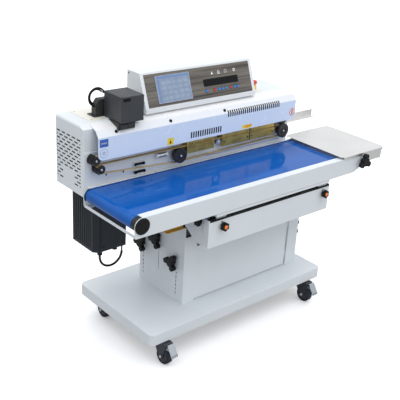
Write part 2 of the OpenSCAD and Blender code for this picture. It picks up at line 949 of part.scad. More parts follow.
module console_housing() {
  color([0.9, 0.91, 0.93])
    difference() {
      along_x([[face_y, console_foot], [face_y, face_z], [face_top_y, console_top],
        [console_back, console_top], [console_back, console_foot]],
        console_left, console_right);
      along_x([[face_y + sheet, console_foot + sheet], [face_y + sheet, face_z],
        [face_top_y + sheet * 0.6, console_top - sheet], [console_back - sheet, console_top - sheet],
        [console_back - sheet, console_foot + sheet]],
        console_left + sheet, console_right - sheet);
      for (x = key_x)
        on_face(x, key_s)
          translate([0, 0, -8])
            cylinder(h = 10, r = key_r + key_gap);
    }
}

module fascia_plate(x0, x1, s0, s1, z0, z1) {
  on_face(x0, s0)
    translate([0, 0, z0])
      cube([x1 - x0, s1 - s0, z1 - z0]);
}

module console_fascia() {
  color([0.42, 0.38, 0.35])
    difference() {
      union() {
        fascia_plate(-315, 245, 4.7, 135.5, 0, fascia_t);
        fascia_plate(-262, -92, 17, 124, fascia_t - 0.5, fascia_t + 1);
        fascia_plate(-23, 170, 54, 83, fascia_t - 0.5, fascia_t + 1);
      }
      for (x = key_x)
        on_face(x, key_s)
          translate([0, 0, -3])
            cylinder(h = 10, r = key_r + key_gap);
    }
}

// membrane key: a cap proud of the fascia on a plunger through the console's wall
module console_key(i) {
  color(i == 2 || i == 6 ? [0.75, 0.12, 0.12] : [0.12, 0.4, 0.75])
    on_face(key_x[i - 1], key_s)
      translate([0, 0, -5])
        cylinder(h = 5 + fascia_t + 1.8, r = key_r);
}

module stop_base() {
  color([0.93, 0.78, 0.1])
    translate([stop_x, stop_y, console_foot])
      difference() {
        cylinder(h = 18, r = 15.5);
        translate([0, 0, 4])
          cylinder(h = 20, r = 9.1);
      }
}

module stop_button() {
  color([0.8, 0.08, 0.08])
    translate([stop_x, stop_y, console_foot])
      rotate_extrude()
        polygon([[0, 9], [9, 9], [9, 23], [14, 24], [17, 27], [17, 33], [14, 38],
          [8, 40.5], [0, 41]]);
}

// ---------- date coder and its supply ----------

shell = 3;

module coder_body() {
  color([0.3, 0.32, 0.35])
    difference() {
      slab(coder_x0, coder_x1, coder_y0, coder_y1, console_foot, coder_z1);
      slab(coder_x0 + shell, coder_x1 - shell, coder_y0 + shell, coder_y1 - shell,
        console_foot - 1, coder_z1 - shell);
      slab(coder_x0 + 8, coder_x0 + 42, coder_y0 - 1, coder_y0 + 1.5, coder_z1 - 19, coder_z1 - 7);
    }
}

// an arc of cable in an X-Z plane
module cable_arc(x, y, z, major, minor, a0, a1) {
  translate([x, y, z])
    rotate([90, 0, 0])
      rotate([0, 0, a0])
        rotate_extrude(angle = a1 - a0)
          translate([major, 0])
            circle(r = minor, $fn = 24);
}

module coder_mount() {
  color([0.08, 0.08, 0.09]) {
    // shoe between the guard's slope and the coder
    along_x([[0, 941], [8.5, 941], [15, 950.4], [60, 964.9], [66, console_foot], [0, console_foot]],
      -487, -412);
    // rear unit on its flange
    slab(-525, -446, 107, 156, console_foot, console_foot + 4);
    along_y([[-517, console_foot + 3], [-450, console_foot + 3], [-450, 1035], [-500, 1035],
      [-517, 1012]], 110, 138);
    cable_arc(-507, 116, 1043, 36, 2, 30, 254);
    rod_y(-507 + 36 * cos(30), 1043 + 36 * sin(30), 2, coder_y1, 118);
    cable_arc(-503, 128, 1041, 29, 2, 38, 244);
    rod_y(-503 + 29 * cos(38), 1041 + 29 * sin(38), 2, coder_y1, 130);
  }
}

box_l = -552;
box_r = -402;
box_f = 60;
box_b = 225;
box_z0 = 412;
box_cut = 18;
box_t = 6;

// plan of the supply box, t inside its skin, its front left edge cut off at an angle
function box_plan(t) = [[box_l + t, box_f + box_cut + t * 0.4], [box_l + box_cut + t * 0.4, box_f + t],
  [box_r - t, box_f + t], [box_r - t, box_b - t], [box_l + t, box_b - t]];

module power_box() {
  color([0.18, 0.2, 0.22]) {
    difference() {
      translate([0, 0, box_z0])
        linear_extrude(height = head_bottom - box_z0)
          polygon(box_plan(0));
      translate([0, 0, box_z0 + box_t])
        linear_extrude(height = head_bottom - box_z0)
          polygon(box_plan(box_t));
      for (i = [0 : 8])
        slab(box_l - 1, box_l + 2, 92 + 14 * i, 98 + 14 * i, box_z0 + 12, head_bottom - 12);
      slab(-530, -526, box_f - 1, box_f + 2.5, box_z0 - 1, head_bottom + 1);
    }
    for (p = [[-516, 80], [-438, 88], [-486, 150]]) {
      translate([p[0], p[1], box_z0 - 20])
        cylinder(h = 21, r = 9);
    }
    // loop of cable from the first gland round to the box's right end
    translate([-516, 80, 378])
      cylinder(h = 20, r = 5);
    cable_arc(-462, 80, 380, 54, 3.2, 180, 360);
    translate([-408, 80, 379])
      cylinder(h = box_z0 - 378, r = 3.2);
  }
}

module infeed_guide() {
  color([0.7, 0.71, 0.72]) {
    slab(head_right, 725, 98, 100, 785, 820);
    slab(head_right, 725, 79, 100, 785, 787);
  }
}

// ---------- nodes ----------

translate(origin_shift) {
  base_tray();
  column_shell();
  caster_fork(-1, -1, true);  // caster_fork_fl
  caster_fork(1, -1, true);  // caster_fork_fr
  caster_fork(-1, 1, false);  // caster_fork_rl
  caster_fork(1, 1, false);  // caster_fork_rr
  caster_wheel(-1, -1);  // caster_wheel_fl
  caster_wheel(1, -1);  // caster_wheel_fr
  caster_wheel(-1, 1);  // caster_wheel_rl
  caster_wheel(1, 1);  // caster_wheel_rr
  brake_pedal(-1);  // brake_pedal_fl
  brake_pedal(1);  // brake_pedal_fr
  lock_knob(lock_front);  // lock_knob_front
  lock_knob(lock_middle);  // lock_knob_middle
  lock_knob(lock_rear);  // lock_knob_rear
  lock_knob_right();
  lift_frame();
  head_housing();
  head_top_plate();
  front_guard();
  seal_base_plate();
  sealing_blocks();
  upper_band();
  lower_band();
  drive_motor();
  upper_left_wheel();
  lower_left_wheel();
  upper_right_wheel();
  lower_right_wheel();
  press_wheel();
  knurl_wheel();
  console_housing();
  console_fascia();
  console_key(1);  // key_1
  console_key(2);  // key_2
  console_key(3);  // key_3
  console_key(4);  // key_4
  console_key(5);  // key_5
  console_key(6);  // key_6
  console_key(7);  // key_7
  console_key(8);  // key_8
  stop_base();
  stop_button();
  coder_body();
  coder_mount();
  power_box();
  infeed_guide();
  bracket_beam();
  star_knob_front(front_knob_x[0]);  // star_knob_front_left
  star_knob_front(front_knob_x[1]);  // star_knob_front_right
  star_knob_side_left();
  star_knob_side_right();
  conveyor_frame();
  roller_caps();
  conveyor_belt();
  drive_roller();
  tail_roller();
  extension_table();
  table_knob();
}
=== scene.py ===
"""Looks of the continuous band sealer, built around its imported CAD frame."""
import json
import math
import random

import bmesh
import bpy
from mathutils import Matrix, Vector


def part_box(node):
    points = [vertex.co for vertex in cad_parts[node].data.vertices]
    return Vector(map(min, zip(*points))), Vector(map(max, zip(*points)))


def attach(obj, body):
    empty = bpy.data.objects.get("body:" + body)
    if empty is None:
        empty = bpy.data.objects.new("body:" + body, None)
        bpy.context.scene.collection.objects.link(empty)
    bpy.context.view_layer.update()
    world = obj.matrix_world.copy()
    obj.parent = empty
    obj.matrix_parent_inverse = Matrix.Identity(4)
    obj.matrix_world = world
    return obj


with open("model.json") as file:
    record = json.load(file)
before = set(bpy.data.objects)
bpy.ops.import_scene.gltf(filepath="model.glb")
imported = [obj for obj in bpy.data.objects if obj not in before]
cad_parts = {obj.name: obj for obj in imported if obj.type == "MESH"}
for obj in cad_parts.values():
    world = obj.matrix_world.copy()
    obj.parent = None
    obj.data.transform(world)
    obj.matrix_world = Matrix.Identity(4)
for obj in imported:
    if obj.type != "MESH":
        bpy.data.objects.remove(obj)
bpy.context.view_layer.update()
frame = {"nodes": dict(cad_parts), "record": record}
nodes = frame["nodes"]

MM = 0.001
tray_lo, tray_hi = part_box("base_tray")
TRAY_SKIRT = 120
ORIGIN = Vector(((tray_lo.x + tray_hi.x) / 2, (tray_lo.y + tray_hi.y) / 2,
                 tray_lo.z - TRAY_SKIRT * MM))


def at(x, y, z):
    """A point in millimetres: x and y from the middle of the base tray, z from the CAD's base
    level, which puts the tray's lower edge at TRAY_SKIRT."""
    return ORIGIN + Vector((x, y, z)) * MM


# ---------------------------------------------------------------- materials

def link(tree, a, b):
    tree.links.new(a, b)


def math_node(tree, op, a, b, clamp=False):
    n = tree.nodes.new("ShaderNodeMath")
    n.operation = op
    n.use_clamp = clamp
    for i, v in enumerate((a, b)):
        if isinstance(v, (int, float)):
            n.inputs[i].default_value = v
        else:
            link(tree, v, n.inputs[i])
    return n.outputs[0]


def coords(tree, scale=(1, 1, 1), rotation=(0, 0, 0)):
    tc = tree.nodes.new("ShaderNodeTexCoord")
    mp = tree.nodes.new("ShaderNodeMapping")
    mp.inputs["Scale"].default_value = scale
    mp.inputs["Rotation"].default_value = rotation
    link(tree, tc.outputs["Object"], mp.inputs["Vector"])
    return mp.outputs[0]


def noise(tree, scale, detail=3.0, rough=0.5, stretch=(1, 1, 1), rotation=(0, 0, 0)):
    n = tree.nodes.new("ShaderNodeTexNoise")
    n.inputs["Scale"].default_value = scale
    n.inputs["Detail"].default_value = detail
    n.inputs["Roughness"].default_value = rough
    link(tree, coords(tree, stretch, rotation), n.inputs["Vector"])
    return n.outputs["Fac"]


def ramp(tree, fac, lo, hi, a=(0, 0, 0, 1), b=(1, 1, 1, 1)):
    r = tree.nodes.new("ShaderNodeValToRGB")
    r.color_ramp.elements[0].position = lo
    r.color_ramp.elements[1].position = hi
    r.color_ramp.elements[0].color = a
    r.color_ramp.elements[1].color = b
    link(tree, fac, r.inputs[0])
    return r.outputs["Color"]


def mix(tree, fac, a, b, mode="MIX"):
    m = tree.nodes.new("ShaderNodeMix")
    m.data_type = "RGBA"
    m.blend_type = mode
    for sock, v in ((m.inputs[0], fac), (m.inputs[6], a), (m.inputs[7], b)):
        if isinstance(v, (int, float)):
            sock.default_value = v
        elif isinstance(v, tuple):
            sock.default_value = v if len(v) == 4 else (*v, 1)
        else:
            link(tree, v, sock)
    return m.outputs[2]


def edge_mask(tree, radius):
    """1 near sharp edges, 0 elsewhere: how far the rounded normal leans from the true one."""
    bev = tree.nodes.new("ShaderNodeBevel")
    bev.samples = 4
    bev.inputs["Radius"].default_value = radius
    geo = tree.nodes.new("ShaderNodeNewGeometry")
    dot = tree.nodes.new("ShaderNodeVectorMath")
    dot.operation = "DOT_PRODUCT"
    link(tree, bev.outputs[0], dot.inputs[0])
    link(tree, geo.outputs["Normal"], dot.inputs[1])
    inv = math_node(tree, "SUBTRACT", 1.0, dot.outputs["Value"], True)
    return math_node(tree, "MULTIPLY", inv, 3.0, True)


def bump(tree, height, strength, distance, below=None):
    b = tree.nodes.new("ShaderNodeBump")
    b.inputs["Strength"].default_value = strength
    b.inputs["Distance"].default_value = distance
    link(tree, height, b.inputs["Height"])
    if below is not None:
        link(tree, below, b.inputs["Normal"])
    return b.outputs[0]


def material(name, color, rough, metallic=0.0, coat=0.0, spec=0.5):
    m = bpy.data.materials.new(name)
    m.use_nodes = True
    tree = m.node_tree
    bsdf = tree.nodes["Principled BSDF"]
    bsdf.inputs["Base Color"].default_value = (*color, 1)
    bsdf.inputs["Roughness"].default_value = rough
    bsdf.inputs["Metallic"].default_value = metallic
    bsdf.inputs["Coat Weight"].default_value = coat
    bsdf.inputs["Coat Roughness"].default_value = 0.12
    bsdf.inputs["Specular IOR Level"].default_value = spec
    return m, tree, bsdf


def vary_rough(tree, bsdf, rough, amount, scale):
    n = noise(tree, scale, 4.0, 0.6)
    span = math_node(tree, "MULTIPLY", math_node(tree, "SUBTRACT", n, 0.5), amount * 2)
    link(tree, math_node(tree, "ADD", span, rough, True), bsdf.inputs["Roughness"])


def shade(c, k):
    return tuple(max(0.0, min(1.0, v * k)) for v in c)


def powder_coat(name, color, rough=0.36, peel=0.10, edge_wear_and_highlight=0.35, dirt=0.10):
    """Sprayed and baked paint: orange peel, faint clouding, edges paler from a painted highlight
    with some rubbed wear, dust in patches.
    """
    m, t, b = material(name, color, rough)
    cloud = noise(t, 3.5, 4.0, 0.6)
    base = mix(t, ramp(t, cloud, 0.3, 0.75), shade(color, 0.965), shade(color, 1.02))
    smudge = ramp(t, noise(t, 22, 5.0, 0.65), 0.56, 0.78)
    base = mix(t, math_node(t, "MULTIPLY", smudge, dirt), base, shade(color, 0.80))
    # paler edges: mostly a painted highlight, with some rubbed wear
    edge = math_node(t, "MULTIPLY", edge_mask(t, 0.0016), edge_wear_and_highlight)
    base = mix(t, edge, base, shade(color, 1.18))
    link(t, base, b.inputs["Base Color"])
    vary_rough(t, b, rough, 0.07, 14)
    fine = bump(t, noise(t, 700, 2.0, 0.5), peel, 0.0006)
    link(t, bump(t, noise(t, 9, 2.0, 0.4), 0.10, 0.002, fine), b.inputs["Normal"])
    return m


def guard_film():
    """Glossy pale blue film over the guard. Faces that lean back get a painted highlight, washed
    out to white, and the cut sides of the louvres get painted shade in black."""
    m = powder_coat("guard_pale", (0.66, 0.77, 0.97), 0.26)
    t = m.node_tree
    base = t.nodes["Principled BSDF"].inputs["Base Color"]
    tint = base.links[0].from_socket
    geo = t.nodes.new("ShaderNodeNewGeometry")
    xyz = t.nodes.new("ShaderNodeSeparateXYZ")
    link(t, geo.outputs["True Normal"], xyz.inputs[0])
    # painted highlight: faces that lean back wash towards white
    faces = mix(t, ramp(t, xyz.outputs["Z"], 0.1, 0.7), tint, (0.79, 0.79, 0.80))
    # painted shade: the sideways cut walls of the louvres, between these x limits, turn near black
    place = t.nodes.new("ShaderNodeSeparateXYZ")
    link(t, geo.outputs["Position"], place.inputs[0])
    left, right = at(-140, 0, 0).x, at(400, 0, 0).x
    sideways = math_node(t, "GREATER_THAN", math_node(t, "ABSOLUTE", xyz.outputs["X"], 0.0), 0.6)
    inside = math_node(t, "MULTIPLY", math_node(t, "GREATER_THAN", place.outputs["X"], left),
                       math_node(t, "LESS_THAN", place.outputs["X"], right))
    louvre_wall_shade = math_node(t, "MULTIPLY", sideways, inside)
    link(t, mix(t, louvre_wall_shade, faces, (0.012, 0.012, 0.014)), base)
    return m


def textured_paint(name, color, rough=0.5, grain=1500, depth=0.35, edge_wear_and_highlight=0.5, spec=0.5):
    """Fine wrinkle paint or moulded plastic grain, paler on its edges from a painted highlight with
    some rubbed wear.
    """
    m, t, b = material(name, color, rough, spec=spec)
    cloud = noise(t, 12, 4.0, 0.6)
    base = mix(t, ramp(t, cloud, 0.3, 0.75), shade(color, 0.82), shade(color, 1.12))
    speck = ramp(t, noise(t, 520, 2.0, 0.6), 0.60, 0.78)
    base = mix(t, math_node(t, "MULTIPLY", speck, 0.18), base, tuple(v + 0.05 for v in color))
    # paler edges: a painted highlight, with some rubbed wear
    edge = math_node(t, "MULTIPLY", edge_mask(t, 0.0012), edge_wear_and_highlight)
    base = mix(t, edge, base, tuple(min(1, v * 1.6 + 0.04) for v in color))
    link(t, base, b.inputs["Base Color"])
    vary_rough(t, b, rough, 0.10, 40)
    link(t, bump(t, noise(t, grain, 2.0, 0.5), depth, 0.0003), b.inputs["Normal"])
    return m


def brushed_metal(name, color, rough=0.3, along=(1, 26, 26), scale=60, metallic=1.0,
                  stain=None, depth=0.12):
    """Metal with fine scratches along one axis and, if asked, a stain colour in clouds."""
    m, t, b = material(name, color, rough, metallic)
    lines = noise(t, scale, 6.0, 0.7, along)
    base = mix(t, ramp(t, lines, 0.3, 0.7), shade(color, 0.88), shade(color, 1.08))
    if stain:
        cloud = ramp(t, noise(t, 38, 5.0, 0.65), 0.42, 0.72)
        base = mix(t, math_node(t, "MULTIPLY", cloud, 0.75), base, stain)
    link(t, base, b.inputs["Base Color"])
    span = math_node(t, "MULTIPLY", math_node(t, "SUBTRACT", lines, 0.5), 0.25)
    cloud_r = math_node(t, "MULTIPLY", math_node(t, "SUBTRACT", noise(t, 9, 4.0), 0.5), 0.2)
    link(t, math_node(t, "ADD", math_node(t, "ADD", span, cloud_r), rough, True),
         b.inputs["Roughness"])
    link(t, bump(t, lines, depth, 0.0004), b.inputs["Normal"])
    return m


def gloss_plastic(name, color, rough=0.16, coat=0.6, spec=0.5):
    m, t, b = material(name, color, rough, 0.0, coat, spec)
    base = mix(t, ramp(t, noise(t, 60, 3.0), 0.3, 0.7), shade(color, 0.9), shade(color, 1.08))
    link(t, base, b.inputs["Base Color"])
    vary_rough(t, b, rough, 0.06, 90)
    link(t, bump(t, noise(t, 500, 2.0), 0.05, 0.0003), b.inputs["Normal"])
    return m


def belt_material():
    """Smooth PVC conveyor belt: mirror glossy, slightly wavy, dust and fine lengthwise scuffs."""
    color = (0.004, 0.088, 0.375)
    m, t, b = material("belt_blue", color, 0.07, 0.0, 0.0, 0.25)
    cloud = noise(t, 5, 4.0, 0.6, (0.4, 1, 1))
    base = mix(t, ramp(t, cloud, 0.3, 0.75), shade(color, 0.88), (0.008, 0.112, 0.455))
    scuff = ramp(t, noise(t, 120, 5.0, 0.7, (0.05, 1, 1)), 0.62, 0.88)
    base = mix(t, math_node(t, "MULTIPLY", scuff, 0.14), base, (0.03, 0.14, 0.46))
    edge = math_node(t, "MULTIPLY", edge_mask(t, 0.001), 0.3)
    base = mix(t, edge, base, (0.03, 0.11, 0.36))
    link(t, base, b.inputs["Base Color"])
    vary_rough(t, b, 0.07, 0.04, 20)
    fine = bump(t, noise(t, 900, 2.0), 0.03, 0.0002)
    link(t, bump(t, noise(t, 6, 2.0, 0.4, (0.5, 1, 1)), 0.10, 0.004, fine), b.inputs["Normal"])
    return m


def band_material():
    """Coated glass-cloth sealing band: a fine weave under a tan coating, browned in use."""
    color = (0.42, 0.29, 0.115)
    m, t, b = material("band_tan", color, 0.42, 0.0, 0.15)
    weave = t.nodes.new("ShaderNodeTexBrick")
    weave.inputs["Scale"].default_value = 260
    weave.inputs["Mortar Size"].default_value = 0.12
    link(t, coords(t, (1, 1, 1), (math.pi / 2, 0, 0)), weave.inputs["Vector"])
    use = ramp(t, noise(t, 16, 5.0, 0.7, (0.5, 1, 1)), 0.35, 0.75)
    base = mix(t, use, color, (0.24, 0.15, 0.055))
    base = mix(t, math_node(t, "MULTIPLY", weave.outputs["Fac"], 0.35), base, (0.60, 0.46, 0.22))
    link(t, base, b.inputs["Base Color"])
    vary_rough(t, b, 0.42, 0.1, 60)
    link(t, bump(t, weave.outputs["Fac"], 0.25, 0.0002), b.inputs["Normal"])
    return m


def fascia_material():
    """Printed film in grey-brown streaks that run along the console, under a satin coat."""
    m, t, b = material("fascia_brown", (0.12, 0.10, 0.09), 0.34, 0.0, 0.25)
    warp = noise(t, 5, 3.0, 0.5, (1, 1, 3))
    streak = noise(t, 34, 7.0, 0.72, (0.045, 1.2, 2.4))
    fine = noise(t, 110, 5.0, 0.7, (0.03, 1, 2.2))
    both = math_node(t, "ADD", math_node(t, "MULTIPLY", streak, 0.7),
                     math_node(t, "MULTIPLY", fine, 0.3))
    both = math_node(t, "ADD", both, math_node(t, "MULTIPLY", warp, 0.10))
    col = ramp(t, both, 0.42, 0.62, (0.036, 0.030, 0.025, 1), (0.180, 0.158, 0.135, 1))
    link(t, col, b.inputs["Base Color"])
    vary_rough(t, b, 0.34, 0.06, 30)
    link(t, bump(t, both, 0.06, 0.0003), b.inputs["Normal"])
    return m


def rubber_material(name, color, tread=False):
    m, t, b = material(name, color, 0.55)
    cloud = noise(t, 30, 4.0)
    base = mix(t, ramp(t, cloud, 0.3, 0.75), shade(color, 0.75), shade(color, 1.3))
    dust = ramp(t, noise(t, 140, 5.0, 0.7), 0.55, 0.8)
    base = mix(t, math_node(t, "MULTIPLY", dust, 0.2), base, (0.16, 0.155, 0.15))
    link(t, base, b.inputs["Base Color"])
    vary_rough(t, b, 0.5 if tread else 0.42, 0.1, 50)
    link(t, bump(t, noise(t, 1100, 2.0), 0.2, 0.0003), b.inputs["Normal"])
    return m


def floor_material():
    """Studio sweep: white to the camera, a mid grey to the light that bounces off it."""
    m, t, b = material("studio_floor", (0.93, 0.93, 0.94), 0.7)
    tone = ramp(t, noise(t, 0.6, 2.0), 0.3, 0.7, (0.925, 0.925, 0.93, 1), (0.94, 0.94, 0.945, 1))
    link(t, tone, b.inputs["Base Color"])
    b.inputs["Emission Color"].default_value = (1, 1, 1, 1)
    b.inputs["Emission Strength"].default_value = 0.22
    grey = t.nodes.new("ShaderNodeBsdfDiffuse")
    grey.inputs["Color"].default_value = (0.40, 0.40, 0.40, 1)
    path = t.nodes.new("ShaderNodeLightPath")
    pick = t.nodes.new("ShaderNodeMixShader")
    link(t, path.outputs["Is Camera Ray"], pick.inputs[0])
    link(t, grey.outputs[0], pick.inputs[1])
    link(t, b.outputs[0], pick.inputs[2])
    link(t, pick.outputs[0], t.nodes["Material Output"].inputs["Surface"])
    return m


WHITE = (0.72, 0.76, 0.79)
MAT = {
    "powder_white": powder_coat("powder_white", WHITE),
    "console_white": powder_coat("console_white", (0.78, 0.81, 0.835)),
    # near-black navy for the lift frame, a painted shade for the gaps at the column's top
    "shade_navy": powder_coat("shade_navy", (0.012, 0.015, 0.024), 0.32),
    "cream_plate": powder_coat("cream_plate", (0.82, 0.785, 0.71), 0.34),
    "guard_pale": guard_film(),
    "fork_dark": textured_paint("fork_dark", (0.050, 0.056, 0.070), 0.32, 900, 0.12),
    "black_plastic": textured_paint("black_plastic", (0.006, 0.006, 0.007), 0.40, 1300, 0.3,
                                    0.25, 0.22),
    "coder_grey": textured_paint("coder_grey", (0.040, 0.044, 0.050), 0.42, 1500, 0.35),
    "coder_black": textured_paint("coder_black", (0.036, 0.036, 0.036), 0.45, spec=0.35),
    "supply_dark": textured_paint("supply_dark", (0.019, 0.025, 0.032), 0.40, 1500, 0.3,
                                  0.4, 0.3),
    "motor_grey": textured_paint("motor_grey", (0.10, 0.11, 0.13), 0.5),
    "stainless": brushed_metal("stainless", (0.86, 0.85, 0.835), 0.42),
    "plate_grey": brushed_metal("plate_grey", (0.40, 0.40, 0.40), 0.36, (1, 14, 14), 70,
                                0.85, (0.26, 0.25, 0.235)),
    "brass_block": brushed_metal("brass_block", (0.66, 0.47, 0.13), 0.38, (1, 8, 8), 90,
                                 1.0, (0.30, 0.21, 0.06)),
    "knurl_steel": brushed_metal("knurl_steel", (0.62, 0.63, 0.64), 0.28),
    "chrome_pedal": brushed_metal("chrome_pedal", (0.50, 0.54, 0.58), 0.16, (14, 1, 14), 60,
                                  1.0, None, 0.05),
    "zinc_gold": brushed_metal("zinc_gold", (0.62, 0.43, 0.13), 0.32, (1, 10, 10), 60,
                               1.0, (0.45, 0.36, 0.20)),
    "drum_dark": brushed_metal("drum_dark", (0.035, 0.035, 0.038), 0.35, (14, 1, 14), 60, 0.6),
    "belt_blue": belt_material(),
    "band_tan": band_material(),
    "fascia_brown": fascia_material(),
    "caster_tyre": rubber_material("caster_tyre", (0.016, 0.018, 0.034), True),
    "wheel_black": rubber_material("wheel_black", (0.014, 0.014, 0.015)),
    "key_blue": gloss_plastic("key_blue", (0.02, 0.22, 0.62)),
    "key_red": gloss_plastic("key_red", (0.55, 0.02, 0.03)),
    "stop_red": gloss_plastic("stop_red", (0.62, 0.015, 0.02)),
    "stop_yellow": gloss_plastic("stop_yellow", (0.85, 0.58, 0.02)),
    # black for the painted shade sheets behind the vents and louvres
    "shade_black": textured_paint("shade_black", (0.004, 0.004, 0.005), 0.7, 600, 0.3, 0.0),
    "cap_orange": gloss_plastic("cap_orange", (0.95, 0.22, 0.02), 0.25, 0.3),
    "dark_glass": gloss_plastic("dark_glass", (0.004, 0.004, 0.005), 0.3, 0.0, 0.2),
    "film_black": gloss_plastic("film_black", (0.006, 0.006, 0.007), 0.35, 0.0, 0.22),
    "film_white": gloss_plastic("film_white", (0.80, 0.81, 0.82), 0.3, 0.2),
    "film_blue": gloss_plastic("film_blue", (0.03, 0.11, 0.46), 0.3, 0.2),
    "film_yellow": gloss_plastic("film_yellow", (0.86, 0.62, 0.02), 0.3, 0.2),
    "film_orange": gloss_plastic("film_orange", (0.86, 0.30, 0.02), 0.3, 0.2),
    "film_red": gloss_plastic("film_red", (0.62, 0.05, 0.04), 0.3, 0.2),
    "film_grey": gloss_plastic("film_grey", (0.34, 0.40, 0.52), 0.35, 0.2),
    "screen_pale": gloss_plastic("screen_pale", (0.24, 0.31, 0.43), 0.2, 0.2),
    "screen_head": gloss_plastic("screen_head", (0.17, 0.26, 0.46), 0.2, 0.3),
    "screen_cell": gloss_plastic("screen_cell", (0.29, 0.36, 0.49), 0.2, 0.3),
    "screen_edge": gloss_plastic("screen_edge", (0.30, 0.36, 0.50), 0.25, 0.4),
}
NODE_MATERIAL = {s["node"]: s["material_slot"] for s in frame["record"]["subparts"]}
NODE_MATERIAL["console_housing"] = "console_white"
NODE_MATERIAL["seal_base_plate"] = "powder_white"
# painted shade: the lift frame is near-black navy so the gaps at the column's top read dark
NODE_MATERIAL["lift_frame"] = "shade_navy"

# ---------------------------------------------------------------- mesh helpers


def finish_mesh(obj, width=0.0, segments=2, angle=32.0, weld=False):
    """Rounds the sharp edges and lets large faces set the normals, so flats stay flat."""
    if weld:
        w = obj.modifiers.new("weld", "WELD")
        w.merge_threshold = 0.00001
    if width > 0:
        b = obj.modifiers.new("bevel", "BEVEL")
        b.width = width
        b.segments = segments
        b.limit_method = "ANGLE"
        b.angle_limit = math.radians(angle)
        b.use_clamp_overlap = True
        b.miter_outer = "MITER_ARC"
    n = obj.modifiers.new("normals", "WEIGHTED_NORMAL")
    n.weight = 60
    n.keep_sharp = True


def piece(name, bm, mat, body, bevel=0.0, segments=2):
    bmesh.ops.recalc_face_normals(bm, faces=bm.faces[:])
    mesh = bpy.data.meshes.new(name)
    bm.to_mesh(mesh)
    bm.free()
    for p in mesh.polygons:
        p.use_smooth = True
    obj = bpy.data.objects.new(name, mesh)
    bpy.context.scene.collection.objects.link(obj)
    mesh.materials.append(MAT[mat])
    finish_mesh(obj, bevel, segments)
    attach(obj, body)
    return obj


def add_prism(bm, outline, depth, place):
    """Adds a closed prism: outline points in x, y, raised by depth along z, moved by place."""
    low = [bm.verts.new(place @ Vector((x, y, 0))) for x, y in outline]
    top = [bm.verts.new(place @ Vector((x, y, depth))) for x, y in outline]
    bm.faces.new(low[::-1])
    bm.faces.new(top)
    n = len(outline)
    for i in range(n):
        j = (i + 1) % n
        bm.faces.new((low[i], low[j], top[j], top[i]))


def add_lathe(bm, profile, place, steps=40):
    """Adds a turned solid: profile is (radius, height) from the foot to the tip, ends at 0."""
    rings = []
    for r, h in profile:
        if r < 1e-7:
            rings.append([bm.verts.new(place @ Vector((0, 0, h)))])
        else:
            rings.append([bm.verts.new(place @ Vector((r * math.cos(2 * math.pi * k / steps),
                                                       r * math.sin(2 * math.pi * k / steps), h)))
                          for k in range(steps)])
    for a, b in zip(rings, rings[1:]):
        for k in range(steps):
            q = (k + 1) % steps
            if len(a) == 1:
                bm.faces.new((a[0], b[k], b[q]))
            elif len(b) == 1:
                bm.faces.new((a[k], a[q], b[0]))
            else:
                bm.faces.new((a[k], a[q], b[q], b[k]))


def add_tube(bm, path, radius, steps=12):
    """Adds a round tube along a list of points, closed at both ends."""
    rings = []
    up = Vector((0, 0, 1))
    for i, p in enumerate(path):
        d = (path[min(i + 1, len(path) - 1)] - path[max(i - 1, 0)]).normalized()
        if i == 0:
            up = d.orthogonal().normalized()
        else:
            up = (up - d * up.dot(d)).normalized()
        side = d.cross(up)
        rings.append([bm.verts.new(p + (up * math.cos(2 * math.pi * k / steps)
                                        + side * math.sin(2 * math.pi * k / steps)) * radius)
                      for k in range(steps)])
    for a, b in zip(rings, rings[1:]):
        for k in range(steps):
            q = (k + 1) % steps
            bm.faces.new((a[k], a[q], b[q], b[k]))
    bm.faces.new(rings[0][::-1])
    bm.faces.new(rings[-1])


def rounded_rect(x0, x1, y0, y1, r, n=5):
    pts = []
    for cx, cy, a0 in ((x1 - r, y1 - r, 0), (x0 + r, y1 - r, 90),
                       (x0 + r, y0 + r, 180), (x1 - r, y0 + r, 270)):
        for i in range(n + 1):
            a = math.radians(a0 + 90 * i / n)
            pts.append((cx + r * math.cos(a), cy + r * math.sin(a)))
    return pts


def circle(cx, cy, r, n=32):
    return [(cx + r * math.cos(2 * math.pi * i / n), cy + r * math.sin(2 * math.pi * i / n))
            for i in range(n)]


def basis(origin, x_axis, y_axis):
    """Placement whose local x and y run along the given directions."""
    x, y = Vector(x_axis).normalized(), Vector(y_axis).normalized()
    z = x.cross(y)
    m = Matrix((x, y, z)).transposed().to_4x4()
    m.translation = origin
    return m


def scaled(points, k=MM):
    return [(x * k, y * k) for x, y in points]


# faces that details sit on, with local x to the right and local z out of the face
def front_of(x, y, z):
    return basis(at(x, y, z), (1, 0, 0), (0, 0, 1))


def left_of(x, y, z):
    return basis(at(x, y, z), (0, -1, 0), (0, 0, 1))


def right_of(x, y, z):
    return basis(at(x, y, z), (0, 1, 0), (0, 0, 1))


def top_of(x, y, z):
    return basis(at(x, y, z), (1, 0, 0), (0, 1, 0))


TILT = math.radians(21)
console_lo, console_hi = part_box("console_housing")
FACE_FOOT = Vector((ORIGIN.x, console_lo.y, console_lo.z + 17 * MM))
UP_FACE = Vector((0, math.sin(TILT), math.cos(TILT)))


def console_face(lift=0.0):
    """Placement on the console's leaning face, raised by lift millimetres."""
    m = basis(FACE_FOOT, (1, 0, 0), UP_FACE)
    return m @ Matrix.Translation((0, 0, lift * MM))


# ---------------------------------------------------------------- CAD nodes

